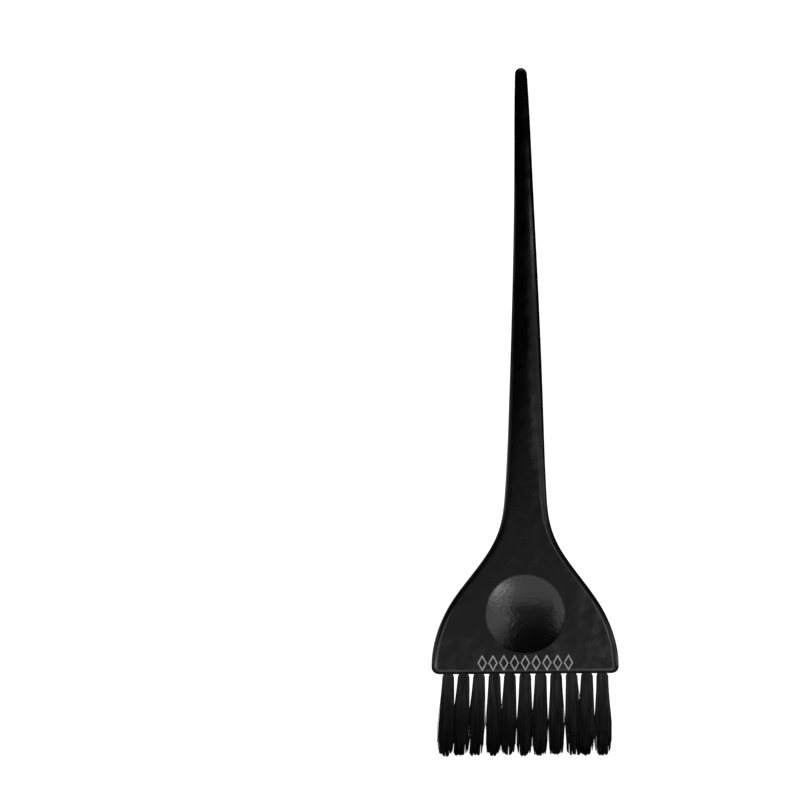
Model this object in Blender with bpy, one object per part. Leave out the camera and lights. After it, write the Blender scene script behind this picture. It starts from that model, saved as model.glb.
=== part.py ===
"""A wide hair-tint brush: one moulded handle and head, and two rows of tufts folded round wire anchors.

Metres, +Z up along the handle, with the front face towards -Y. The origin is the middle of the
bristle tips. A "height" is measured from the head's end face, where the tufts go in, up towards
the handle's tip, and a negative height is below that face.
"""

import math

import bmesh
import bpy
import numpy as np
from mathutils import Matrix

MM = 0.001

# Driving dimensions
BRISTLE_LENGTH = 26.5 * MM
HANDLE_LENGTH = 194.2 * MM
HEAD_THICKNESS = 8.5 * MM
HEAD_CORNER_RADIUS = 2.2 * MM
END_FILLET = 1.5 * MM
CLEARANCE = 0.3 * MM

# The silhouette's half width at each height: square head, sloping shoulders, neck, tapering handle.
HALF_WIDTHS = [
    (2.2 * MM, 30.0 * MM),
    (9.0 * MM, 29.3 * MM),
    (16.0 * MM, 27.15 * MM),
    (23.0 * MM, 23.5 * MM),
    (30.0 * MM, 18.4 * MM),
    (37.0 * MM, 13.15 * MM),
    (43.5 * MM, 9.45 * MM),
    (50.0 * MM, 7.5 * MM),
    (58.0 * MM, 6.65 * MM),
    (88.0 * MM, 5.4 * MM),
    (125.0 * MM, 4.1 * MM),
    (160.0 * MM, 2.95 * MM),
    (192.2 * MM, 1.95 * MM),
]
SLOPE_AT_HEAD = 0.0
SLOPE_AT_TIP = -0.05

# Side profile: a flat head, then a straight taper to the round tip.
FLAT_HEIGHT = 38.0 * MM
NECK_HEIGHT = 74.0 * MM
NECK_HALF_THICKNESS = 3.6 * MM
TIP_HALF_THICKNESS = 1.9 * MM

# The cross-section: a slab with rounded edges at the head, drawn in to an ellipse up the handle.
# The edge radius is the head's, and it shrinks with the thickness.
EDGE_RADIUS = 2.2 * MM
ROUND_HEIGHT = 118.0 * MM

# Thumb dish on the front and finger dish on the back
DISH_HEIGHT = 19.2 * MM
DISH_RADIUS = 12.6 * MM
DISH_DEPTH = 2.3 * MM

# Tufts
COLUMNS = 11
COLUMN_PITCH = 4.94 * MM
ROW_PITCH = 3.8 * MM
HOLE_RADIUS = 1.5 * MM
HOLE_DEPTH = 7.5 * MM
ANCHOR_LENGTH = 3.6 * MM
ANCHOR_THICKNESS = 0.4 * MM
ANCHOR_HEIGHT = 1.6 * MM
ANCHOR_MIDDLE = 5.2 * MM

# The free part of a tuft: share of the bristle length below the head, then of its full width and depth
TUFT_SPREAD = [
    (0.40, 0.86, 0.97),
    (0.76, 1.00, 1.00),
    (0.91, 0.84, 0.88),
    (1.00, 0.42, 0.50),
]

# Mesh fineness
CORNER_STEPS = 4
FACE_STEPS = 4
END_STEPS = 6
SHOULDER_SECTIONS = 18
HANDLE_SECTIONS = 16
TIP_STEPS = 4
TIP_CLOSES_AT = 0.96
DISH_SEGMENTS = 48
HOLE_SEGMENTS = 16
TUFT_SEGMENTS = 12

SHOULDER_TOP = HALF_WIDTHS[8][0]
TIP_START = HALF_WIDTHS[-1][0]


def clear_scene():
    for obj in list(bpy.data.objects):
        bpy.data.objects.remove(obj)


def material(name, colour, roughness, metallic=0.0):
    made = bpy.data.materials.new(name)
    made.use_nodes = True
    shader = made.node_tree.nodes["Principled BSDF"]
    shader.inputs["Base Color"].default_value = (*colour, 1.0)
    shader.inputs["Roughness"].default_value = roughness
    shader.inputs["Metallic"].default_value = metallic
    return made


def spline_slopes(stations, first_slope, last_slope):
    """The slopes at the stations that give a cubic spline with even curvature and these end slopes."""
    x, y = np.array(stations).T
    gap = np.diff(x)
    chord = np.diff(y) / gap
    rows = np.eye(len(x))
    wanted = np.zeros(len(x))
    wanted[0], wanted[-1] = first_slope, last_slope
    for i in range(1, len(x) - 1):
        rows[i, i - 1 : i + 2] = gap[i], 2 * (gap[i - 1] + gap[i]), gap[i - 1]
        wanted[i] = 3 * (gap[i] * chord[i - 1] + gap[i - 1] * chord[i])
    return np.linalg.solve(rows, wanted)


WIDTH_SLOPES = spline_slopes(HALF_WIDTHS, SLOPE_AT_HEAD, SLOPE_AT_TIP)


def spline_half_width(height):
    """The silhouette's half width from the top of the head's corners to the start of the tip."""
    i = max(k for k in range(len(HALF_WIDTHS) - 1) if k == 0 or HALF_WIDTHS[k][0] <= height)
    (x0, y0), (x1, y1) = HALF_WIDTHS[i], HALF_WIDTHS[i + 1]
    gap = x1 - x0
    t = (height - x0) / gap
    return (
        y0 * (1 + 2 * t) * (1 - t) ** 2
        + y1 * t * t * (3 - 2 * t)
        + gap * WIDTH_SLOPES[i] * t * (1 - t) ** 2
        - gap * WIDTH_SLOPES[i + 1] * t * t * (1 - t)
    )


def smoothstep(low, high, value):
    t = min(1.0, max(0.0, (value - low) / (high - low)))
    return t * t * (3 - 2 * t)


def rounded_end(radius, height):
    """How far a quarter-round edge of this radius has pulled in at a height above the end face."""
    below = max(0.0, radius - height)
    return radius - math.sqrt(radius**2 - below**2)


def tip_scale(height):
    """The dome at the handle's tip, as a share of the section where it starts."""
    share = max(0.0, height - TIP_START) / (HANDLE_LENGTH - TIP_START)
    return math.sqrt(max(0.0, 1 - share * share))


def section_size(height):
    """Half width, half thickness and edge radius of the handle's cross-section."""
    body = min(TIP_START, max(HALF_WIDTHS[0][0], height))
    half_width = spline_half_width(body) - rounded_end(HEAD_CORNER_RADIUS, height)
    along = (body - NECK_HEIGHT) / (TIP_START - NECK_HEIGHT)
    taper = NECK_HALF_THICKNESS + (TIP_HALF_THICKNESS - NECK_HALF_THICKNESS) * along
    blend = smoothstep(FLAT_HEIGHT, NECK_HEIGHT, body)
    half_thickness = HEAD_THICKNESS / 2 * (1 - blend) + taper * blend
    half_thickness -= rounded_end(END_FILLET, height)
    edge = EDGE_RADIUS * half_thickness / (HEAD_THICKNESS / 2)
    scale = tip_scale(height)
    return half_width * scale, half_thickness * scale, edge * scale


def slab_outline(half_width, half_thickness, edge):
    """A rectangle with quarter-round corners, and points across its two long faces."""
    outline = []
    flat = half_width - edge
    for quarter, (side_x, side_y) in enumerate(((1, 1), (-1, 1), (-1, -1), (1, -1))):
        for step in range(CORNER_STEPS + 1):
            turn = math.radians(90) * (quarter + step / CORNER_STEPS)
            x = side_x * flat + edge * math.cos(turn)
            y = side_y * (half_thickness - edge) + edge * math.sin(turn)
            outline.append((x, y))
        if side_x == side_y:
            across = [1 - 2 * step / FACE_STEPS for step in range(1, FACE_STEPS)]
            outline += [(side_x * flat * share, side_y * half_thickness) for share in across]
    return outline


def section_ring(height):
    """The cross-section at a height. Each point is drawn in towards the ellipse of the same size."""
    half_width, half_thickness, edge = section_size(height)
    roundness = smoothstep(FLAT_HEIGHT, ROUND_HEIGHT, height)
    ring = []
    for x, y in slab_outline(half_width, half_thickness, edge):
        outside = math.hypot(x / half_width, y / half_thickness)
        draw = 1 + roundness * (1 / outside - 1)
        ring.append((x * draw, y * draw, height))
    return ring


def section_heights():
    """Close together round the head's lower corners and the tip, and further apart between."""
    quarter = math.radians(90)
    corner = [HEAD_CORNER_RADIUS * (1 - math.cos(quarter * i / END_STEPS)) for i in range(END_STEPS)]
    shoulder = np.linspace(HEAD_CORNER_RADIUS, SHOULDER_TOP, SHOULDER_SECTIONS, endpoint=False)
    handle = np.linspace(SHOULDER_TOP, TIP_START, HANDLE_SECTIONS, endpoint=False)
    dome = HANDLE_LENGTH - TIP_START
    tip = [TIP_START + dome * math.sin(TIP_CLOSES_AT * quarter * i / TIP_STEPS) for i in range(TIP_STEPS + 1)]
    return [*corner, *shoulder, *handle, *tip]


def circle_ring(radius_x, radius_y, height, segments):
    turns = [2 * math.pi * i / segments for i in range(segments)]
    return [(radius_x * math.cos(a), radius_y * math.sin(a), height) for a in turns]


def add_loft(shape, rings, move=(0.0, 0.0, 0.0)):
    """Adds one closed body to a bmesh: quads from ring to ring, with a face over each end ring."""
    rows = [[shape.verts.new([p + m for p, m in zip(point, move)]) for point in ring] for ring in rings]
    count = len(rows[0])
    for low, high in zip(rows, rows[1:]):
        for i in range(count):
            j = (i + 1) % count
            shape.faces.new((low[i], low[j], high[j], high[i]))
    shape.faces.new(rows[0][::-1])
    shape.faces.new(rows[-1])


def mesh_of(name, shape):
    bmesh.ops.recalc_face_normals(shape, faces=shape.faces)
    mesh = bpy.data.meshes.new(name)
    shape.to_mesh(mesh)
    shape.free()
    return mesh


def loft_mesh(name, rings):
    shape = bmesh.new()
    add_loft(shape, rings)
    return mesh_of(name, shape)


def place(name, mesh, finish, parent, location=(0.0, 0.0, 0.0)):
    obj = bpy.data.objects.new(name, mesh)
    bpy.context.scene.collection.objects.link(obj)
    obj.parent = parent
    obj.location = location
    if not mesh.materials:
        mesh.materials.append(finish)
    return obj


def helper(name, mesh, location=(0.0, 0.0, 0.0)):
    """A cutter: it shapes its target and isn't part of the brush."""
    obj = bpy.data.objects.new(name, mesh)
    bpy.context.scene.collection.objects.link(obj)
    obj.location = location
    obj.hide_render = True
    obj.display_type = "WIRE"
    return obj


def cut(target, cutter):
    modifier = target.modifiers.new(cutter.name, "BOOLEAN")
    modifier.operation = "DIFFERENCE"
    modifier.solver = "EXACT"
    modifier.object = cutter


def shade_round(mesh, angle=35):
    mesh.shade_smooth()
    mesh.set_sharp_from_angle(angle=math.radians(angle))


def tuft_places():
    """(name ending, x, y) of each tuft, from the brush's left as seen from the front."""
    found = []
    for row, side in (("front", -1), ("back", 1)):
        for column in range(COLUMNS):
            x = (column - (COLUMNS - 1) / 2) * COLUMN_PITCH
            found.append((f"{row}_{column + 1:02d}", x, side * ROW_PITCH / 2))
    return found


def dish_cutter(name, side):
    """A sphere that cuts a shallow round dish into the head. Side is -1 for the front, 1 for the back."""
    radius = (DISH_RADIUS**2 + DISH_DEPTH**2) / (2 * DISH_DEPTH)
    shape = bmesh.new()
    bmesh.ops.create_uvsphere(shape, u_segments=DISH_SEGMENTS, v_segments=DISH_SEGMENTS, radius=radius)
    bmesh.ops.rotate(shape, verts=shape.verts, matrix=Matrix.Rotation(math.radians(90), 3, "X"))
    out = HEAD_THICKNESS / 2 - DISH_DEPTH + radius
    return helper(name, mesh_of(name, shape), (0.0, side * out, BRISTLE_LENGTH + DISH_HEIGHT))


def hole_cutters():
    """One mesh of all the tuft holes, and one of the slots that the anchors' ends bite into."""
    holes, slots = bmesh.new(), bmesh.new()
    mouth = [circle_ring(HOLE_RADIUS, HOLE_RADIUS, h, HOLE_SEGMENTS) for h in (-HOLE_RADIUS, HOLE_DEPTH)]
    slot = anchor_rings(CLEARANCE)
    for _, x, y in tuft_places():
        add_loft(holes, mouth, (x, y, 0))
        add_loft(slots, slot, (x, y, 0))
    return mesh_of("hole_cutter", holes), mesh_of("slot_cutter", slots)


def anchor_rings(grow=0.0, length=ANCHOR_LENGTH):
    """A strip of flat wire across its hole, as two rings; grow adds a gap on every side."""
    x, y, half = length / 2 + grow, ANCHOR_THICKNESS / 2 + grow, ANCHOR_HEIGHT / 2 + grow
    ring = [(x, y), (-x, y), (-x, -y), (x, -y)]
    return [[(*corner, ANCHOR_MIDDLE + side * half) for corner in ring] for side in (-1, 1)]


def make_handle(finish, parent):
    """The one-piece moulding: handle, shoulders and head, with its dishes and tuft holes."""
    base = (0.0, 0.0, BRISTLE_LENGTH)
    mesh = loft_mesh("handle", [section_ring(height) for height in section_heights()])
    handle = place("handle", mesh, finish, parent, base)
    cut(handle, dish_cutter("thumb_dish_cutter", -1))
    cut(handle, dish_cutter("finger_dish_cutter", 1))
    holes, slots = hole_cutters()
    cut(handle, helper("hole_cutter", holes, base))
    cut(handle, helper("slot_cutter", slots, base))
    shade_round(mesh)


def tuft_mesh():
    """A tuft as a plain solid: a folded root that fits its hole, and a free part that spreads, then closes."""
    root = HOLE_RADIUS - CLEARANCE
    half_width = (COLUMN_PITCH - CLEARANCE) / 2
    half_depth = (ROW_PITCH - CLEARANCE) / 2
    fold = HOLE_DEPTH - CLEARANCE
    profile = [
        (fold, root / 2, root / 2),
        (fold - root / 2, root, root),
        (-CLEARANCE, root, root),
        (-2 * CLEARANCE, HOLE_RADIUS, HOLE_RADIUS),
    ]
    profile += [(-share * BRISTLE_LENGTH, half_width * x, half_depth * y) for share, x, y in TUFT_SPREAD]
    rings = [circle_ring(rx, ry, height, TUFT_SEGMENTS) for height, rx, ry in profile]
    solid = bpy.data.objects.new("tuft_blank", loft_mesh("tuft_blank", rings))
    bpy.context.scene.collection.objects.link(solid)
    window = helper("window_cutter", loft_mesh("window_cutter", anchor_rings(CLEARANCE, 2 * ANCHOR_LENGTH)))
    cut(solid, window)
    graph = bpy.context.evaluated_depsgraph_get()
    mesh = bpy.data.meshes.new_from_object(solid.evaluated_get(graph))
    mesh.name = "tuft"
    for spare in (solid, window):
        bpy.data.objects.remove(spare)
    shade_round(mesh)
    return mesh


def make_tufts(bristle_finish, wire_finish, parent):
    """Each tuft and its anchor is an object of its own; they share two meshes."""
    tuft = tuft_mesh()
    anchor = loft_mesh("anchor", anchor_rings())
    for ending, x, y in tuft_places():
        location = (x, y, BRISTLE_LENGTH)
        place(f"tuft_{ending}", tuft, bristle_finish, parent, location)
        place(f"anchor_{ending}", anchor, wire_finish, parent, location)


def main():
    clear_scene()
    brush = bpy.data.objects.new("tint_brush", None)
    bpy.context.scene.collection.objects.link(brush)
    plastic = material("black_polypropylene", (0.012, 0.012, 0.013), 0.42)
    nylon = material("black_nylon", (0.014, 0.013, 0.013), 0.5)
    wire = material("brass_wire", (0.62, 0.45, 0.2), 0.35, metallic=1.0)
    make_handle(plastic, brush)
    make_tufts(nylon, wire, brush)


main()
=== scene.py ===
"""The looks of the wide hair-tint brush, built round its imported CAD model.

Metres, in the CAD's own frame: +Z up along the handle, the front face towards -Y, and the origin in
the middle of the bristle tips. A "height" is measured from the head's end face, where the tufts go
in, up towards the handle's tip.
"""

import math

import bmesh
import bpy
import numpy as np
from mathutils import Matrix, Vector


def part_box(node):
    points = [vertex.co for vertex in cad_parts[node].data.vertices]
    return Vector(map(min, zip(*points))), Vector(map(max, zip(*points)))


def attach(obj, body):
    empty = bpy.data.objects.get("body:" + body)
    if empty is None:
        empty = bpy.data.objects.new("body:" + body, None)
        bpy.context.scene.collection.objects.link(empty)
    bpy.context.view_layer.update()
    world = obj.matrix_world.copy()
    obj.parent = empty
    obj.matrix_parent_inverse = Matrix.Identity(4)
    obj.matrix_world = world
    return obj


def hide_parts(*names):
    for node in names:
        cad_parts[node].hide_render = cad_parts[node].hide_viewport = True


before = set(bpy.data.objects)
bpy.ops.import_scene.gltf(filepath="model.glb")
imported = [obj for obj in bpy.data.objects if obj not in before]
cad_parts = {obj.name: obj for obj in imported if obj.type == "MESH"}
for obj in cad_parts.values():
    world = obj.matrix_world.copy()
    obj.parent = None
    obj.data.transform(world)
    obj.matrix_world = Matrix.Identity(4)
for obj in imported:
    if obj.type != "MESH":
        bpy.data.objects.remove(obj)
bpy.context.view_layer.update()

MM = 0.001

# Sizes read from the CAD model
HANDLE_LOW, HANDLE_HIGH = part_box("handle")
BRISTLE_LENGTH = HANDLE_LOW.z
HANDLE_LENGTH = HANDLE_HIGH.z - HANDLE_LOW.z
HEAD_THICKNESS = HANDLE_HIGH.y - HANDLE_LOW.y
FRONT_FACE = HANDLE_LOW.y

# The handle's outline: half widths at these heights, and the outline's slope at its two ends
HALF_WIDTHS = [
    (2.2 * MM, HANDLE_HIGH.x),
    (9.0 * MM, 29.3 * MM),
    (16.0 * MM, 27.15 * MM),
    (23.0 * MM, 23.5 * MM),
    (30.0 * MM, 18.4 * MM),
    (37.0 * MM, 13.15 * MM),
    (43.5 * MM, 9.45 * MM),
    (50.0 * MM, 7.5 * MM),
    (58.0 * MM, 6.65 * MM),
    (88.0 * MM, 5.4 * MM),
    (125.0 * MM, 4.1 * MM),
    (160.0 * MM, 2.95 * MM),
    (192.2 * MM, 1.95 * MM),
]
SLOPE_AT_HEAD = 0.0
SLOPE_AT_TIP = -0.05
HEAD_CORNER_RADIUS = 2.2 * MM
END_FILLET = 1.5 * MM
EDGE_RADIUS = 2.2 * MM

# Side profile and section, from the flat head to the round tip
FLAT_HEIGHT = 38.0 * MM
NECK_HEIGHT = 74.0 * MM
ROUND_HEIGHT = 118.0 * MM
NECK_HALF_THICKNESS = 3.6 * MM
TIP_HALF_THICKNESS = 1.9 * MM

# The moulding has set with a slight sideways bow, from just above the head to the tip
BOW = 0.98 * MM
BOW_FROM = 24.0 * MM

# The mould's parting line, a fine ridge round the outline
PARTING_HALF_WIDTH = 0.09 * MM
PARTING_PROUD = 0.05 * MM

# Thumb dish on the front and finger dish on the back, with a small stepped rim
DISH_HEIGHT = 19.2 * MM
DISH_RADIUS = 12.6 * MM
DISH_DEPTH = 2.3 * MM
DISH_STEP = 0.20 * MM
DISH_RIM = 0.18 * MM

# Tufts, and the wire anchors that hold them
COLUMNS = 11
COLUMN_PITCH = 4.94 * MM
ROW_PITCH = 3.8 * MM
HOLE_RADIUS = 1.5 * MM
HOLE_DEPTH = 7.5 * MM
HOLE_CHAMFER = 0.2 * MM
ANCHOR_THICKNESS = 0.4 * MM
ANCHOR_MIDDLE = 5.2 * MM
ANCHOR_HEIGHT = 1.6 * MM
ANCHOR_LENGTH = 3.6 * MM
ANCHOR_PLAY = 0.03 * MM

# Filaments: each is folded in half round its anchor, so it has two legs
FILAMENTS = 84
FILAMENT_RADIUS = 0.085 * MM
FILAMENT_SIDES = 5
LEG_RINGS = 11
FOLD_RINGS = 5

SHOULDER_TOP = HALF_WIDTHS[8][0]
TIP_START = HALF_WIDTHS[-1][0]


# ---------------------------------------------------------------- shared shapes


def smoothstep(low, high, value):
    t = np.clip((value - low) / (high - low), 0.0, 1.0)
    return t * t * (3 - 2 * t)


def spline_slopes(stations, first_slope, last_slope):
    """The slopes at the stations that give a cubic spline with even curvature and these end slopes."""
    x, y = np.array(stations).T
    gap = np.diff(x)
    chord = np.diff(y) / gap
    rows = np.eye(len(x))
    wanted = np.zeros(len(x))
    wanted[0], wanted[-1] = first_slope, last_slope
    for i in range(1, len(x) - 1):
        rows[i, i - 1 : i + 2] = gap[i], 2 * (gap[i - 1] + gap[i]), gap[i - 1]
        wanted[i] = 3 * (gap[i] * chord[i - 1] + gap[i - 1] * chord[i])
    return np.linalg.solve(rows, wanted)


WIDTH_SLOPES = spline_slopes(HALF_WIDTHS, SLOPE_AT_HEAD, SLOPE_AT_TIP)


def spline_half_width(height):
    """The outline's half width from the top of the head's corners to the start of the tip."""
    i = max(k for k in range(len(HALF_WIDTHS) - 1) if k == 0 or HALF_WIDTHS[k][0] <= height)
    (x0, y0), (x1, y1) = HALF_WIDTHS[i], HALF_WIDTHS[i + 1]
    gap = x1 - x0
    t = (height - x0) / gap
    return (
        y0 * (1 + 2 * t) * (1 - t) ** 2
        + y1 * t * t * (3 - 2 * t)
        + gap * WIDTH_SLOPES[i] * t * (1 - t) ** 2
        - gap * WIDTH_SLOPES[i + 1] * t * t * (1 - t)
    )


def circle_ring(radius, height, segments):
    turns = [2 * math.pi * i / segments for i in range(segments)]
    return [(radius * math.cos(a), radius * math.sin(a), height) for a in turns]


def add_loft(shape, rings, move=(0.0, 0.0, 0.0)):
    """Adds one closed body to a bmesh: quads from ring to ring, with a face over each end ring."""
    rows = [[shape.verts.new([p + m for p, m in zip(point, move)]) for point in ring] for ring in rings]
    count = len(rows[0])
    for low, high in zip(rows, rows[1:]):
        for i in range(count):
            j = (i + 1) % count
            shape.faces.new((low[i], low[j], high[j], high[i]))
    shape.faces.new(rows[0][::-1])
    shape.faces.new(rows[-1])


def mesh_of(name, shape):
    bmesh.ops.recalc_face_normals(shape, faces=shape.faces)
    mesh = bpy.data.meshes.new(name)
    shape.to_mesh(mesh)
    shape.free()
    return mesh


def add_object(name, mesh):
    obj = bpy.data.objects.new(name, mesh)
    bpy.context.scene.collection.objects.link(obj)
    return obj


def carve(blank, cutters):
    """A new mesh: the blank with each cutter taken out of it. The blank and the cutters are used up."""
    for cutter in cutters:
        modifier = blank.modifiers.new(cutter.name, "BOOLEAN")
        modifier.operation = "DIFFERENCE"
        modifier.solver = "EXACT"
        modifier.object = cutter
    graph = bpy.context.evaluated_depsgraph_get()
    mesh = bpy.data.meshes.new_from_object(blank.evaluated_get(graph))
    for spare in (blank, *cutters):
        bpy.data.objects.remove(spare)
    return mesh


def shade_round(mesh, angle):
    """Smooth shading, apart from the edges where two faces turn by more than this angle in degrees."""
    mesh.shade_smooth()
    mesh.set_sharp_from_angle(angle=math.radians(angle))


# ---------------------------------------------------------------- materials

# The plastic's clouds and swells are stretched along axes that lean over, and its pebbles are even
FLOW_LEAN = math.radians(35)
FLOW_STRETCH = (1.0, 1.0, 1.5)
FLOW_SIZE = 4.6 * MM
SWELL_SIZE = 5.0 * MM
PEBBLE_SIZE = 1.1 * MM

# The plastic has grey cloudy patches up to the first of these heights, and is plain black from the second.
# Both are measured from the bristle tips
GREY_UP_TO = 80.0 * MM
PLAIN_BLACK_FROM = 135.0 * MM
PLAIN_BLACK = 0.0008

# The plastic's roughness and how far it spreads, the depths of its waves and pebbles, and the grey of its
# patches
SATIN = dict(roughness=0.23, spread=0.09, waves=0.15 * MM, pebble=0.010 * MM, grey=0.0074)
DISHED = dict(roughness=0.22, spread=0.02, waves=0.04 * MM, pebble=0.06 * MM, grey=0.002)

# The nylon has a fine grain along each filament, and streaks that several filaments share. The streaks make
# it duller, and darker as painted shade between strands
GRAIN_STRETCH = (1.0, 1.0, 8.0)
GRAIN_SIZE = 0.6 * MM
STREAK_STRETCH = (1.0, 1.0, 9.0)
STREAK_SIZE = 1.1 * MM
# The nylon's black, and the paler grey painted over it from the last of these heights up to the head: painted
# light on the roots and painted shade on the tips
NYLON_BLACK = 0.0028
NYLON_PAINTED_LIGHT_GREY = (0.034, 0.0337, 0.0333)
PAINTED_LIGHT_FROM = 0.3 * BRISTLE_LENGTH

# The brass strip's drawing lines run along it, and its tarnish and the ink's worn places are patches
DRAWN_STRETCH = (12.0, 1.0, 1.0)
DRAWN_SIZE = 0.05 * MM
TARNISH_SIZE = 0.8 * MM
BRASS = (0.66, 0.47, 0.2)
TARNISHED_BRASS = (0.4, 0.27, 0.12)
WORN_SIZE = 0.7 * MM
INK = (0.29, 0.29, 0.295)
WORN_INK = (0.19, 0.19, 0.195)


class Nodes:
    """A short way to write the node tree of a material or a light."""

    def __init__(self, owner, shader="Principled BSDF"):
        owner.use_nodes = True
        self.owner = owner
        self.tree = owner.node_tree
        self.shader = self.tree.nodes[shader]

    def add(self, kind, **settings):
        node = self.tree.nodes.new(kind)
        for key, value in settings.items():
            setattr(node, key, value)
        return node

    def link(self, source, target):
        self.tree.links.new(source, target)

    def place(self, stretch=(1.0, 1.0, 1.0), lean=0.0):
        """The object's own coordinates in metres, stretched along axes that lean sideways by an angle."""
        coordinates = self.add("ShaderNodeTexCoord")
        mapping = self.add("ShaderNodeMapping", vector_type="TEXTURE")
        mapping.inputs["Scale"].default_value = stretch
        mapping.inputs["Rotation"].default_value = (0.0, lean, 0.0)
        self.link(coordinates.outputs["Object"], mapping.inputs["Vector"])
        return mapping.outputs["Vector"]

    def height(self):
        """How high a point is above the bristle tips, in metres."""
        split = self.add("ShaderNodeSeparateXYZ")
        self.link(self.place(), split.inputs["Vector"])
        return split.outputs["Z"]

    def noise(self, place, size, detail=4.0, roughness=0.55):
        """Noise whose features are about this size, in metres."""
        node = self.add("ShaderNodeTexNoise")
        node.inputs["Scale"].default_value = 1.0 / size
        node.inputs["Detail"].default_value = detail
        node.inputs["Roughness"].default_value = roughness
        self.link(place, node.inputs["Vector"])
        return node.outputs["Fac"]

    def remap(self, source, low, high, new_low, new_high):
        node = self.add("ShaderNodeMapRange", interpolation_type="SMOOTHSTEP")
        for key, value in zip(("From Min", "From Max", "To Min", "To Max"), (low, high, new_low, new_high)):
            node.inputs[key].default_value = value
        self.link(source, node.inputs["Value"])
        return node.outputs["Result"]

    def colours(self, source, low, high):
        """A blend of two colours."""
        node = self.add("ShaderNodeMix", data_type="RGBA")
        node.inputs["A"].default_value = (*low, 1.0)
        node.inputs["B"].default_value = (*high, 1.0)
        self.link(source, node.inputs["Factor"])
        return node.outputs["Result"]

    def combine(self, operation, first, second):
        node = self.add("ShaderNodeMath", operation=operation)
        self.link(first, node.inputs[0])
        self.link(second, node.inputs[1])
        return node.outputs["Value"]

    def product(self, first, second):
        return self.combine("MULTIPLY", first, second)

    def total(self, first, second):
        return self.combine("ADD", first, second)

    def bump(self, source, depth, under=None):
        """A bump of this depth in metres, on top of another bump if there is one."""
        node = self.add("ShaderNodeBump")
        node.inputs["Strength"].default_value = 1.0
        node.inputs["Distance"].default_value = depth
        self.link(source, node.inputs["Height"])
        if under:
            self.link(under, node.inputs["Normal"])
        return node.outputs["Normal"]


def moulded_plastic(name, roughness, spread, waves, pebble, grey):
    """Black moulded polypropylene, with soft leaning flow marks. The head is greyer than the handle."""
    n = Nodes(bpy.data.materials.new(name))
    flow = n.place(FLOW_STRETCH, FLOW_LEAN)
    clouds = n.noise(flow, FLOW_SIZE, detail=4.0, roughness=0.6)
    swell = n.noise(flow, SWELL_SIZE, detail=1.0)
    pebbles = n.noise(n.place(), PEBBLE_SIZE, detail=1.5)
    on_head = n.remap(n.height(), GREY_UP_TO, PLAIN_BLACK_FROM, 1.0, 0.0)
    grey_patches_and_painted_light = n.product(on_head, n.remap(clouds, 0.26, 0.74, 0.0, 1.0))
    n.link(n.colours(grey_patches_and_painted_light, (PLAIN_BLACK,) * 3, (grey,) * 3), n.shader.inputs["Base Color"])
    uneven = n.remap(clouds, 0.3, 0.7, roughness + spread, roughness - spread)
    n.link(uneven, n.shader.inputs["Roughness"])
    n.link(n.bump(pebbles, pebble, n.bump(swell, waves)), n.shader.inputs["Normal"])
    n.shader.inputs["Specular IOR Level"].default_value = 0.5
    return n.owner


def bristle_nylon():
    """Black nylon monofilament, painted a paler grey towards the head and black towards the tips, as painted
    light and shade. No two filaments have the same tone and gloss.
    """
    n = Nodes(bpy.data.materials.new("black_nylon"))
    each = n.add("ShaderNodeNewGeometry").outputs["Random Per Island"]
    grain = n.noise(n.place(GRAIN_STRETCH), GRAIN_SIZE, detail=2.0)
    streaks = n.noise(n.place(STREAK_STRETCH), STREAK_SIZE, detail=1.0)
    # Painted light and shade: greyer towards the head, black towards the tips, and darker in the streaks
    # between strands
    near_head = n.remap(n.height(), PAINTED_LIGHT_FROM, BRISTLE_LENGTH, 0.0, 1.0)
    grey_patches_and_painted_light = n.product(near_head, n.remap(streaks, 0.35, 0.65, 0.25, 1.0))
    n.link(n.colours(grey_patches_and_painted_light, (NYLON_BLACK,) * 3, NYLON_PAINTED_LIGHT_GREY), n.shader.inputs["Base Color"])
    dull = n.remap(streaks, 0.38, 0.62, 0.24, 0.0)
    n.link(n.total(n.remap(each, 0, 1, 0.20, 0.34), dull), n.shader.inputs["Roughness"])
    n.link(n.bump(grain, 0.012 * MM), n.shader.inputs["Normal"])
    n.shader.inputs["Specular IOR Level"].default_value = 0.15
    return n.owner


def anchor_brass():
    """Drawn brass strip, with fine lines along the strip and a little tarnish."""
    n = Nodes(bpy.data.materials.new("brass_strip"))
    lines = n.noise(n.place(DRAWN_STRETCH), DRAWN_SIZE, detail=3.0)
    tarnish = n.noise(n.place(), TARNISH_SIZE)
    tone = n.colours(n.remap(tarnish, 0.4, 0.65, 0, 1), BRASS, TARNISHED_BRASS)
    n.link(tone, n.shader.inputs["Base Color"])
    n.link(n.remap(lines, 0.3, 0.7, 0.24, 0.44), n.shader.inputs["Roughness"])
    n.link(n.bump(lines, 0.004 * MM), n.shader.inputs["Normal"])
    n.shader.inputs["Metallic"].default_value = 1.0
    return n.owner


def print_ink():
    """Pale grey printing ink, thinner in places where the pad has lifted it."""
    n = Nodes(bpy.data.materials.new("print_ink"))
    worn = n.noise(n.place(), WORN_SIZE, detail=3.0)
    tone = n.colours(n.remap(worn, 0.35, 0.6, 0, 1), WORN_INK, INK)
    n.link(tone, n.shader.inputs["Base Color"])
    n.link(n.remap(worn, 0.3, 0.7, 0.5, 0.65), n.shader.inputs["Roughness"])
    return n.owner


# ---------------------------------------------------------------- handle

CORNER_STEPS = 8
FACE_STEPS = 16
SIDE_SHARES = (0.72, 0.42)
END_STEPS = 14
SHOULDER_SECTIONS = 92
HANDLE_SECTIONS = 118
TIP_STEPS = 10
TIP_CLOSES_AT = 0.97
DISH_SEGMENTS = 128
DISH_RINGS = 22
RIM_RINGS = 12
RIM_ENDS_AT = 0.9
HOLE_SEGMENTS = 28
MOULDING_SHARP_FROM = 32
SHADING_WEIGHT = 80

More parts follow.
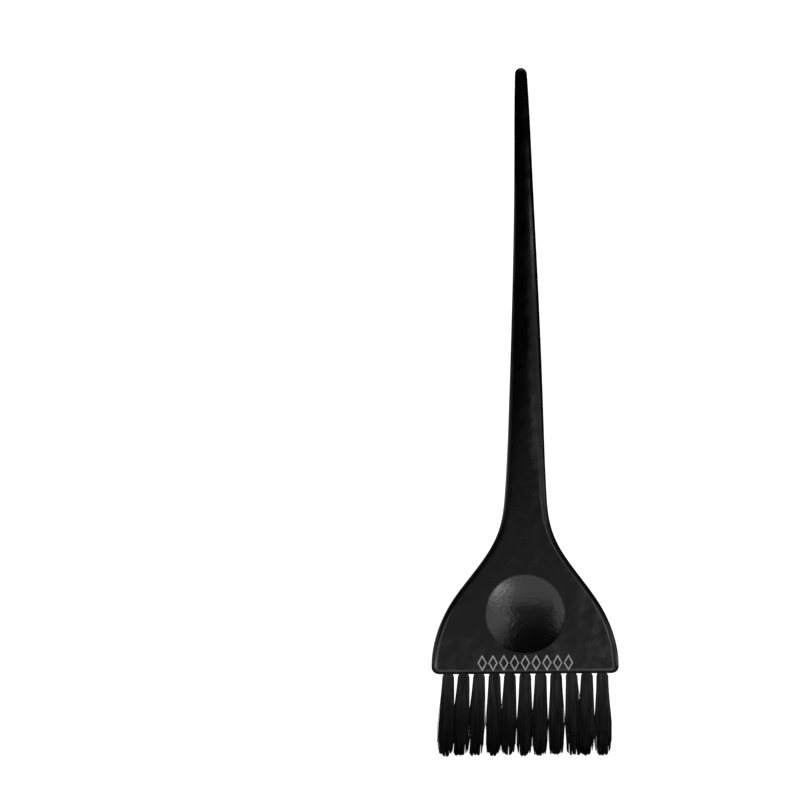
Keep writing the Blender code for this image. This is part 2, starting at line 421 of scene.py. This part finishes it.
# A face belongs to a dish if it is at least this far under the head's flat face, and at most this far
# under the dish's own bottom
UNDER_FACE = 0.004 * MM
UNDER_DISH = 0.1 * MM


def rounded_end(radius, height):
    """How far a quarter-round edge of this radius has pulled in at a height above the end face."""
    below = max(0.0, radius - height)
    return radius - math.sqrt(radius**2 - below**2)


def tip_scale(height):
    """The dome at the handle's tip, as a share of the section where it starts."""
    share = max(0.0, height - TIP_START) / (HANDLE_LENGTH - TIP_START)
    return math.sqrt(max(0.0, 1 - share * share))


def section_size(height):
    """Half width, half thickness, edge radius and dome scale of the handle's cross-section."""
    body = min(TIP_START, max(HALF_WIDTHS[0][0], height))
    half_width = spline_half_width(body) - rounded_end(HEAD_CORNER_RADIUS, height)
    along = (body - NECK_HEIGHT) / (TIP_START - NECK_HEIGHT)
    taper = NECK_HALF_THICKNESS + (TIP_HALF_THICKNESS - NECK_HALF_THICKNESS) * along
    blend = smoothstep(FLAT_HEIGHT, NECK_HEIGHT, body)
    half_thickness = HEAD_THICKNESS / 2 * (1 - blend) + taper * blend
    half_thickness -= rounded_end(END_FILLET, height)
    edge = EDGE_RADIUS * half_thickness / (HEAD_THICKNESS / 2)
    return half_width, half_thickness, edge, tip_scale(height)


def side_points(side, half_width, straight):
    """Down one narrow side, with the parting line's ridge in the middle."""
    above = [(half_width, share * straight) for share in SIDE_SHARES]
    ridge = [
        (half_width, PARTING_HALF_WIDTH),
        (half_width + PARTING_PROUD, 0.0),
        (half_width, -PARTING_HALF_WIDTH),
    ]
    below = [(x, -y) for x, y in above[::-1]]
    return [(side * x, -side * y) for x, y in above + ridge + below]


def sideways_bow(height):
    """How far the handle's middle has bowed along X at a height: half a sine wave."""
    share = max(0.0, height - BOW_FROM) / (HANDLE_LENGTH - BOW_FROM)
    return BOW * math.sin(math.pi * share)


def slab_outline(half_width, half_thickness, edge):
    """A rectangle with quarter-round corners, with points across its long faces and its narrow sides."""
    outline = []
    flat, straight = half_width - edge, half_thickness - edge
    for quarter, (side_x, side_y) in enumerate(((1, 1), (-1, 1), (-1, -1), (1, -1))):
        for step in range(CORNER_STEPS + 1):
            turn = math.radians(90) * (quarter + step / CORNER_STEPS)
            x = side_x * flat + edge * math.cos(turn)
            y = side_y * straight + edge * math.sin(turn)
            outline.append((x, y))
        if side_x == side_y:
            across = [1 - 2 * step / FACE_STEPS for step in range(1, FACE_STEPS)]
            outline += [(side_x * flat * share, side_y * half_thickness) for share in across]
        else:
            outline += side_points(side_x, half_width, straight)
    return outline


def section_ring(height):
    """The cross-section at a height. Each point is drawn in towards the ellipse of the same size."""
    half_width, half_thickness, edge, scale = section_size(height)
    roundness = smoothstep(FLAT_HEIGHT, ROUND_HEIGHT, height)
    ring = []
    for x, y in slab_outline(half_width, half_thickness, edge):
        outside = max(1.0, math.hypot(x / half_width, y / half_thickness))
        draw = scale * (1 + roundness * (1 / outside - 1))
        ring.append((x * draw + sideways_bow(height), y * draw, height))
    return ring


def section_heights():
    """Close together round the head's lower corners and the tip, and further apart between."""
    quarter = math.radians(90)
    corner = [HEAD_CORNER_RADIUS * (1 - math.cos(quarter * i / END_STEPS)) for i in range(END_STEPS)]
    shoulder = np.linspace(HEAD_CORNER_RADIUS, SHOULDER_TOP, SHOULDER_SECTIONS, endpoint=False)
    handle = np.linspace(SHOULDER_TOP, TIP_START, HANDLE_SECTIONS, endpoint=False)
    dome = HANDLE_LENGTH - TIP_START
    tip = [TIP_START + dome * math.sin(TIP_CLOSES_AT * quarter * i / TIP_STEPS) for i in range(TIP_STEPS + 1)]
    return [float(height) for height in (*corner, *shoulder, *handle, *tip)]


def dish_depth(radius):
    """How deep the dish is at this distance from its axis: a bowl inside a small rounded step."""
    inside = min(1.0, radius / (DISH_RADIUS - DISH_RIM))
    bowl = DISH_STEP + (DISH_DEPTH - DISH_STEP) * (1 - inside**2)
    return bowl * (1 - smoothstep(DISH_RADIUS - DISH_RIM, DISH_RADIUS + DISH_RIM, radius))


def dish_cutter(name, side):
    """A turned solid with the dish's shape. Side is -1 for the front and 1 for the back."""
    lid = HEAD_THICKNESS / 2
    turns = np.linspace(0.0, math.pi / 2, DISH_RINGS, endpoint=False)[1:]
    bowl = (DISH_RADIUS - DISH_RIM) * np.sin(turns)
    rim = np.linspace(DISH_RADIUS - DISH_RIM, DISH_RADIUS + RIM_ENDS_AT * DISH_RIM, RIM_RINGS)
    profile = [(radius, -dish_depth(radius)) for radius in (*bowl, *rim)]
    profile += [(DISH_RADIUS + DISH_RIM, lid)]
    rings = []
    for radius, out in profile:
        circle = circle_ring(radius, 0.0, DISH_SEGMENTS)
        rings.append([(x, side * (HEAD_THICKNESS / 2 + out), z) for x, z, _ in circle])
    shape = bmesh.new()
    add_loft(shape, rings)
    bottom = min(shape.faces, key=lambda face: face.calc_center_median().y * side)
    bmesh.ops.poke(shape, faces=[bottom], offset=0.0)
    centre = min(shape.verts, key=lambda vert: vert.co.x**2 + vert.co.z**2)
    centre.co.y = side * (HEAD_THICKNESS / 2 - DISH_DEPTH)
    cutter = add_object(name, mesh_of(name, shape))
    cutter.location = (0.0, 0.0, BRISTLE_LENGTH + DISH_HEIGHT)
    return cutter


def tuft_places():
    """(name ending, x, y) of each tuft, from the brush's left as seen from the front."""
    found = []
    for row, side in (("front", -1), ("back", 1)):
        for column in range(COLUMNS):
            x = (column - (COLUMNS - 1) / 2) * COLUMN_PITCH
            found.append((f"{row}_{column + 1:02d}", x, side * ROW_PITCH / 2))
    return found


def hole_cutters():
    """All the tuft holes, and all the slots that the anchors' ends have bitten."""
    profile = [
        (HOLE_RADIUS + HOLE_CHAMFER, -HOLE_RADIUS),
        (HOLE_RADIUS + HOLE_CHAMFER, 0.0),
        (HOLE_RADIUS, HOLE_CHAMFER),
        (HOLE_RADIUS, HOLE_DEPTH),
    ]
    hole = [circle_ring(radius, height, HOLE_SEGMENTS) for radius, height in profile]
    x, y, z = ANCHOR_LENGTH / 2, ANCHOR_THICKNESS / 2, ANCHOR_HEIGHT / 2
    x, y, z = x + ANCHOR_PLAY, y + ANCHOR_PLAY, z + ANCHOR_PLAY
    slot = [[(x, y, h), (-x, y, h), (-x, -y, h), (x, -y, h)] for h in (ANCHOR_MIDDLE - z, ANCHOR_MIDDLE + z)]
    holes, slots = bmesh.new(), bmesh.new()
    for _, place_x, place_y in tuft_places():
        add_loft(holes, hole, (place_x, place_y, BRISTLE_LENGTH))
        add_loft(slots, slot, (place_x, place_y, BRISTLE_LENGTH))
    return add_object("holes", mesh_of("holes", holes)), add_object("slots", mesh_of("slots", slots))


def in_a_dish(centre):
    """Whether a face's centre is in one of the two dishes."""
    off_axis = math.hypot(centre.x, centre.z - BRISTLE_LENGTH - DISH_HEIGHT)
    sunk = HEAD_THICKNESS / 2 - abs(centre.y)
    return off_axis < DISH_RADIUS + DISH_RIM and UNDER_FACE < sunk < DISH_DEPTH + UNDER_DISH


def make_handle():
    """The one-piece moulding, with its dishes, its tuft holes and the anchors' slots."""
    shape = bmesh.new()
    add_loft(shape, [section_ring(height) for height in section_heights()], (0.0, 0.0, BRISTLE_LENGTH))
    blank = add_object("handle_blank", mesh_of("handle_blank", shape))
    cutters = [dish_cutter("thumb_dish", -1), dish_cutter("finger_dish", 1), *hole_cutters()]
    mesh = carve(blank, cutters)
    mesh.name = "handle_moulding"
    mesh.materials.clear()
    mesh.materials.append(moulded_plastic("satin_black", **SATIN))
    mesh.materials.append(moulded_plastic("dish_black", **DISHED))
    for face in mesh.polygons:
        face.material_index = int(in_a_dish(face.center))
    shade_round(mesh, MOULDING_SHARP_FROM)
    handle = add_object("handle_moulding", mesh)
    weighted = handle.modifiers.new("even_shading", "WEIGHTED_NORMAL")
    weighted.keep_sharp = True
    weighted.weight = SHADING_WEIGHT
    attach(handle, "root")
    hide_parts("handle")


# ---------------------------------------------------------------- printed mark

MARK_COUNT = 9
MARK_PITCH = 3.45 * MM
MARK_WIDTH = 3.0 * MM
MARK_TALL = 5.2 * MM
MARK_STROKE = 0.38 * MM
MARK_HEIGHT = 3.6 * MM
INK_THICKNESS = 0.02 * MM


def make_mark():
    """A plain row of outlined diamonds, printed low on the front of the head."""
    shape = bmesh.new()
    half_x, half_z = MARK_WIDTH / 2, MARK_TALL / 2
    inner = 1 - MARK_STROKE * math.hypot(half_x, half_z) / (half_x * half_z)
    corners = [(half_x, 0.0), (0.0, half_z), (-half_x, 0.0), (0.0, -half_z)]
    middle = BRISTLE_LENGTH + MARK_HEIGHT
    for i in range(MARK_COUNT):
        x0 = (i - (MARK_COUNT - 1) / 2) * MARK_PITCH
        rows = []
        for share, y in ((1, 0.0), (1, -INK_THICKNESS), (inner, -INK_THICKNESS), (inner, 0.0)):
            points = [(x0 + share * x, FRONT_FACE + y, middle + share * z) for x, z in corners]
            rows.append([shape.verts.new(point) for point in points])
        for a, b in zip(rows, rows[1:] + rows[:1]):
            for k in range(len(corners)):
                shape.faces.new((a[k], a[k - 1], b[k - 1], b[k]))
    mark = add_object("printed_mark", mesh_of("printed_mark", shape))
    mark.data.materials.append(print_ink())
    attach(mark, "root")


# ---------------------------------------------------------------- tufts

# How a tuft's half width and half depth change from its hole's mouth (0) to its tip (1)
SPREAD_AT = (0.0, 0.04, 0.31, 0.53, 0.72, 1.0)
HALF_WIDTH_AT = (1.41 * MM, 1.86 * MM, 2.08 * MM, 2.25 * MM, 2.42 * MM, 2.42 * MM)
HALF_DEPTH_AT = (1.41 * MM, 1.52 * MM, 1.72 * MM, 1.85 * MM, 1.92 * MM, 1.90 * MM)

# Towards its tip a tuft gathers into clumps, spread over this share of its half width
CLUMPS = 4
CLUMP_REACH = 0.79
CLUMP_STRAY = 0.08
CLUMP_OVERLAP = 0.05
CLUMP_PULL = (0.2, 0.7)
CLUMPING_FROM = 0.7

# How far each front tuft's tip leans along X. The back tufts are a little wider and lean by chance
FRONT_LEANS = [lean * MM for lean in (-1.0, -1.0, -0.85, -0.65, -0.65, -0.8, -0.75, -0.45, 0.2, -0.25, -0.55)]
BACK_LEAN = 0.60 * MM
BACK_WIDER = 1.08
LEAN_POWER = 1.3

# How far a leg strays from its place, and how the clumps wave along Y
STRAY = 0.14 * MM
CLUMP_WAVE = 0.22 * MM
CLUMP_TURNS = (0.8, 1.8)

# How much a leg is cut back at a tuft's sides, and by chance: by clump, by leg and by tuft
ROUNDED_CUT = 5.2 * MM
CUT_POWER = 3.2
JAG = 0.55 * MM
RAGGED = 0.10 * MM
TRIM = 0.15 * MM
CUT_LIMITS = (0.05 * MM, 6.0 * MM)

# A leg's rings are closer together near its hole, and its cut end is thinner, as a share of its radius
RING_POWER = 1.4
END_THINNING = 0.80
NEXT_THINNING = 0.94

# A fold over the anchor: how far its legs keep off the anchor's side, as a share of the filament's radius,
# and then its rise over the anchor, its height and how far down its legs start, as shares of its reach
FOLD_CLEARANCE = 1.3
FOLD_RISE = 0.25
FOLD_HEIGHT = 0.9
FOLD_FOOT = 1.6

TUFT_SEED = 700
FILAMENT_SHARP_FROM = 60


def filament_tubes(name, paths, radii):
    """One mesh of thin tubes. paths is (filaments, rings, 3), and radii is (filaments, rings)."""
    count, rings, _ = paths.shape
    along = np.gradient(paths, axis=1)
    along /= np.linalg.norm(along, axis=2, keepdims=True)
    across = np.cross(along, np.array([1.0, 0.0, 0.0]))
    across /= np.linalg.norm(across, axis=2, keepdims=True)
    third = np.cross(along, across)
    turns = 2 * np.pi * np.arange(FILAMENT_SIDES) / FILAMENT_SIDES
    spokes = (
        across[:, :, None] * np.cos(turns)[None, None, :, None]
        + third[:, :, None] * np.sin(turns)[None, None, :, None]
    )
    points = paths[:, :, None] + spokes * radii[:, :, None, None]
    index = np.arange(count * rings * FILAMENT_SIDES).reshape(count, rings, FILAMENT_SIDES)
    turned = np.roll(index, -1, axis=2)
    quads = np.stack([index[:, :-1], turned[:, :-1], turned[:, 1:], index[:, 1:]], axis=-1).reshape(-1, 4)
    ends = np.concatenate([index[:, 0, ::-1], index[:, -1]])
    mesh = bpy.data.meshes.new(name)
    mesh.from_pydata(points.reshape(-1, 3).tolist(), [], quads.tolist() + ends.tolist())
    shape = bmesh.new()
    shape.from_mesh(mesh)
    bmesh.ops.recalc_face_normals(shape, faces=shape.faces)
    shape.to_mesh(mesh)
    shape.free()
    shade_round(mesh, FILAMENT_SHARP_FROM)
    return mesh


def packed_disc(count):
    """Points spread evenly over a unit disc, by the sunflower rule."""
    index = np.arange(count) + 0.5
    radius = np.sqrt(index / count)
    turn = index * math.pi * (3 - math.sqrt(5))
    return np.stack([radius * np.cos(turn), radius * np.sin(turn)], axis=1)


def tuft_legs(rng, lean, trim, wider):
    """The free legs of one tuft, from the hole's mouth down: (legs, rings, 3)."""
    seats = packed_disc(2 * FILAMENTS)
    seats = seats[np.argsort(seats[:, 1])]
    across, through = seats[:, :1], seats[:, 1:]
    legs = len(seats)
    share = np.linspace(0.0, 1.0, LEG_RINGS) ** RING_POWER
    drift = smoothstep(0.0, 1.0, share)
    width = np.interp(share, SPREAD_AT, HALF_WIDTH_AT) * (1 + (wider - 1) * drift)
    depth = np.interp(share, SPREAD_AT, HALF_DEPTH_AT)
    x = across * width + rng.normal(0, STRAY, (legs, 1)) * drift
    y = through * depth + rng.normal(0, STRAY, (legs, 1)) * drift

    heads = np.linspace(-CLUMP_REACH, CLUMP_REACH, CLUMPS) + rng.normal(0, CLUMP_STRAY, CLUMPS)
    apart = np.abs(across - heads) + rng.normal(0, CLUMP_OVERLAP, (legs, CLUMPS))
    clump = np.argmin(apart, axis=1)
    turns = rng.uniform(*CLUMP_TURNS, CLUMPS)[clump][:, None] * share
    start = rng.uniform(0.0, 1.0, CLUMPS)[clump][:, None]
    y = y + CLUMP_WAVE * np.sin(2 * np.pi * (turns + start)) * drift
    pull = rng.uniform(*CLUMP_PULL, (legs, 1)) * smoothstep(CLUMPING_FROM, 1.0, share)
    x = x * (1 - pull) + heads[clump][:, None] * width * pull
    x = x + lean * share**LEAN_POWER
    z = BRISTLE_LENGTH - leg_lengths(rng, across[:, 0], clump, trim)[:, None] * share
    return np.stack([x, y, z], axis=2)


def leg_lengths(rng, across, clump, trim):
    """How far each leg hangs out of its hole: less at the tuft's sides, and not the same in any two."""
    rounded = ROUNDED_CUT * np.abs(across) ** CUT_POWER
    ragged = rng.uniform(0.0, JAG, CLUMPS)[clump] + rng.exponential(RAGGED, len(clump))
    return BRISTLE_LENGTH - np.clip(trim + rounded + ragged, *CUT_LIMITS)


def folded_path(first, second):
    """One filament: up its first leg, over the anchor in a half turn, and down its second leg."""
    clear = ANCHOR_THICKNESS / 2 + FOLD_CLEARANCE * FILAMENT_RADIUS
    anchor_top = BRISTLE_LENGTH + ANCHOR_MIDDLE + ANCHOR_HEIGHT / 2
    (x_first, y_first), (x_second, y_second) = first[0, :2], second[0, :2]
    y_first, y_second = min(y_first, -clear), max(y_second, clear)
    reach = (y_second - y_first) / 2
    rise = anchor_top + FILAMENT_RADIUS + FOLD_RISE * reach
    fold = []
    for turn in np.linspace(0, math.pi, FOLD_RINGS + 2)[1:-1]:
        x = x_first + (x_second - x_first) * (1 - math.cos(turn)) / 2
        y = (y_first + y_second) / 2 - reach * math.cos(turn)
        fold.append((x, y, rise + FOLD_HEIGHT * reach * (math.sin(turn) - 1)))
    low = rise - FOLD_FOOT * reach
    return [*first[::-1], (x_first, y_first, low), *fold, (x_second, y_second, low), *second]


def tuft_mesh(name, rng, lean, trim, wider):
    """A tuft of folded filaments, each a little thinner at its two cut ends."""
    legs = tuft_legs(rng, lean, trim, wider)
    paths = np.array([folded_path(*pair) for pair in zip(legs[:FILAMENTS], legs[FILAMENTS:][::-1])])
    taper = np.ones(paths.shape[1])
    taper[[0, -1]] = END_THINNING
    taper[[1, -2]] = NEXT_THINNING
    return filament_tubes(name, paths, np.tile(FILAMENT_RADIUS * taper, (FILAMENTS, 1)))


def make_tufts():
    """Each tuft is a piece of its own, and no two are alike."""
    nylon = bristle_nylon()
    for number, (ending, x, y) in enumerate(tuft_places()):
        rng = np.random.default_rng(TUFT_SEED + number)
        lean, wider = FRONT_LEANS[number % COLUMNS], 1.0
        if number >= COLUMNS:
            lean, wider = lean + rng.normal(0, BACK_LEAN), BACK_WIDER
        mesh = tuft_mesh(f"bristles_{ending}", rng, lean, rng.uniform(0.0, TRIM), wider)
        mesh.transform(Matrix.Translation((x, y, 0.0)))
        mesh.materials.append(nylon)
        tuft = add_object(f"bristles_{ending}", mesh)
        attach(tuft, "root")
        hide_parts(f"tuft_{ending}")


def finish_anchors():
    """The anchors keep their CAD shape and get a drawn brass finish."""
    brass = anchor_brass()
    for ending, _, _ in tuft_places():
        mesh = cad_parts[f"anchor_{ending}"].data
        mesh.materials.clear()
        mesh.materials.append(brass)


# ---------------------------------------------------------------- camera, floor and light

VIEW_WIDTH = 256.0 * MM
CAMERA_DISTANCE = 2.0
CAMERA_X = -39.5 * MM
CAMERA_HEIGHT = 114.5 * MM
CAMERA_ROLL = math.radians(0.42)
FLOOR_RADIUS = 0.22
FLOOR_GREY = 0.6
SURROUND_BRIGHTNESS = 1.2

# The two sides of the brush that are lit alike: the azimuth of each in degrees, and how bright its lights are
SIDES = (("front", 0, 1.0), ("back", 180, 0.35))

# Upright soft boxes for each side: the azimuths they span, distance, heights, brightness, the shares of their
# left, right, bottom and top that fade out, and how fast they dim upwards
SOFT_BOXES = (
    ("right", (17.5, 43), 0.15, (0.010, 0.118), 1.95, (0.02, 0.4, 0.2, 0.14), 1.1),
    ("right_strip", (10.5, 20.5), 0.42, (0.004, 0.118), 1.5, (0.5, 0.02, 0.1, 0.14), 0.2),
    ("right_tall", (8, 50), 0.45, (0.06, 0.215), 1.0, (0.8, 0.15, 0.1, 0.1), 1.9),
    ("far_right", (46, 90), 0.35, (0.004, 0.175), 0.36, (0.1, 0.2, 0.12, 0.1), -0.35),
    ("tip_right", (44, 84), 0.15, (0.157, 0.193), 1.55, (0.15, 0.25, 0.45, 0.4), 0.0),
    ("left", (-52, -21), 0.15, (0.004, 0.084), 1.6, (0.15, 0.3, 0.25, 0.35), 0.0),
    ("left_low", (-74, -44), 0.15, (0.010, 0.040), 4.4, (0.2, 0.15, 0.5, 0.35), 0.0),
    ("dim", (-17, 10.5), 0.36, (0.0, 0.135), 0.165, (0.3, 0.26, 0.15, 0.45), 0.2),
)

# Bright patches of the table for each side: azimuth, near and far ends, width, height, brightness and fades
TABLE_GLOWS = (
    ("table", 0, 0.015, 0.32, 0.30, 0.5 * MM, 1.1, (0.15, 0.15, 0.1, 0.6)),
    ("table_right", 19, 0.06, 0.26, 0.09, 0.5 * MM, 4.0, (0.3, 0.3, 0.2, 0.4)),
    ("table_glint", 25, 0.07, 0.15, 0.032, 1.0 * MM, 5.0, (0.4, 0.4, 0.4, 0.4)),
)

# One soft box for each narrow side of the brush, laid out like the others
NARROW_SIDE_BOXES = (
    ("side_right", (76, 108), 0.30, (0.004, 0.135), 0.85, (0.15, 0.3, 0.15, 0.3), 0.0),
    ("side_left", (-112, -72), 0.30, (0.004, 0.135), 0.35, (0.3, 0.2, 0.15, 0.3), 0.0),
)
OVERHEAD_PLACE = (0.0, 0.0, 1.1)
OVERHEAD_SIZE = (1.2, 1.2)
OVERHEAD_BRIGHTNESS = 0.45
OVERHEAD_FADE = (0.2, 0.2, 0.2, 0.2)


def make_camera():
    """A long lens, level with the middle of the brush, which stands right of the picture's centre."""
    data = bpy.data.cameras.new("camera")
    data.sensor_width = 36.0
    data.lens = data.sensor_width * CAMERA_DISTANCE / VIEW_WIDTH
    camera = bpy.data.objects.new("camera", data)
    camera.location = (CAMERA_X, FRONT_FACE - CAMERA_DISTANCE, CAMERA_HEIGHT)
    camera.rotation_euler = (math.radians(90), 0.0, 0.0)
    camera.rotation_euler.rotate_axis("Z", -CAMERA_ROLL)
    bpy.context.scene.collection.objects.link(camera)
    bpy.context.scene.camera = camera


def make_floor():
    """A small round table top that glows white for the camera and doesn't show in the brush's gloss."""
    shape = bmesh.new()
    bmesh.ops.create_circle(shape, cap_ends=True, segments=96, radius=FLOOR_RADIUS)
    floor = add_object("floor", mesh_of("floor", shape))
    n = Nodes(bpy.data.materials.new("white_table"))
    n.shader.inputs["Base Color"].default_value = (FLOOR_GREY, FLOOR_GREY, FLOOR_GREY, 1.0)
    n.shader.inputs["Roughness"].default_value = 0.9
    n.shader.inputs["Specular IOR Level"].default_value = 0.0
    n.shader.inputs["Emission Color"].default_value = (1.0, 1.0, 1.0, 1.0)
    n.shader.inputs["Emission Strength"].default_value = 1.0
    floor.data.materials.append(n.owner)
    floor.visible_glossy = False


def make_world():
    """A white surround for the camera. It doesn't light the brush: the soft boxes do."""
    world = bpy.data.worlds.new("white_surround")
    world.use_nodes = True
    world.node_tree.nodes["Background"].inputs["Color"].default_value = (1.0, 1.0, 1.0, 1.0)
    world.node_tree.nodes["Background"].inputs["Strength"].default_value = SURROUND_BRIGHTNESS
    bpy.context.scene.world = world
    for kind in ("diffuse", "glossy", "transmission", "scatter"):
        setattr(world.cycles_visibility, kind, False)


def shape_light(data, fade, decay):
    """Fades a light over these shares of its left, right, bottom and top, and dims it upwards."""
    n = Nodes(data, "Emission")
    split = n.add("ShaderNodeSeparateXYZ")
    n.link(n.add("ShaderNodeNewGeometry").outputs["Parametric"], split.inputs["Vector"])
    across, up = split.outputs["X"], split.outputs["Y"]
    left, right, bottom, top = fade
    sides = n.product(n.remap(across, 0, left, 0, 1), n.remap(across, 1 - right, 1, 1, 0))
    ends = n.product(n.remap(up, 0, bottom, 0, 1), n.remap(up, 1 - top, 1, 1, 0))
    dim = n.add("ShaderNodeMath", operation="POWER")
    dim.inputs[0].default_value = math.exp(-decay)
    n.link(up, dim.inputs[1])
    n.link(n.product(n.product(sides, ends), dim.outputs["Value"]), n.shader.inputs["Strength"])


def area_light(name, location, target, size, brightness, fade, decay=0.0):
    """A rectangle of light that faces the target, with the same brightness at every size."""
    data = bpy.data.lights.new(name, "AREA")
    data.shape = "RECTANGLE"
    data.size, data.size_y = size
    data.energy = brightness * math.pi * size[0] * size[1]
    shape_light(data, fade, decay)
    light = bpy.data.objects.new(name, data)
    light.location = location
    light.rotation_euler = (Vector(target) - light.location).to_track_quat("-Z", "Y").to_euler()
    light.visible_camera = False
    bpy.context.scene.collection.objects.link(light)
    return light


def soft_box(name, turn, azimuths, distance, heights, brightness, fade, decay):
    """An upright soft light between two azimuths, in degrees: 0 is the camera's side and 90 is +X."""
    low, high = azimuths
    middle = math.radians(turn + (low + high) / 2)
    width = 2 * distance * math.tan(math.radians(high - low) / 2)
    centre = sum(heights) / 2
    location = (distance * math.sin(middle), -distance * math.cos(middle), centre)
    size = (width, heights[1] - heights[0])
    area_light(name, location, (0.0, 0.0, centre), size, brightness, fade, decay)


def table_glow(name, azimuth, near, far, width, height, brightness, fade):
    """A bright patch of the table top, which lights the brush from below."""
    turn = math.radians(azimuth)
    along = (near + far) / 2
    x, y = along * math.sin(turn), -along * math.cos(turn)
    glow = area_light(name, (x, y, height), (x, y, 1.0), (width, far - near), brightness, fade)
    glow.rotation_euler = (math.radians(180), 0.0, turn)


def make_lights():
    """Soft boxes and a glowing table close round the brush. The back has the front's lights, but dimmer."""
    for side, turn, share in SIDES:
        for name, azimuths, distance, heights, brightness, fade, decay in SOFT_BOXES:
            soft_box(f"{side}_{name}", turn, azimuths, distance, heights, brightness * share, fade, decay)
        for name, azimuth, near, far, width, height, brightness, fade in TABLE_GLOWS:
            table_glow(f"{side}_{name}", turn + azimuth, near, far, width, height, brightness * share, fade)
    for name, azimuths, distance, heights, brightness, fade, decay in NARROW_SIDE_BOXES:
        soft_box(name, 0, azimuths, distance, heights, brightness, fade, decay)
    area_light("overhead", OVERHEAD_PLACE, (0.0, 0.0, 0.0), OVERHEAD_SIZE, OVERHEAD_BRIGHTNESS, OVERHEAD_FADE)


def main():
    make_camera()
    make_floor()
    make_world()
    make_lights()
    make_handle()
    make_mark()
    make_tufts()
    finish_anchors()
    bpy.context.scene.view_settings.view_transform = "Standard"


main()
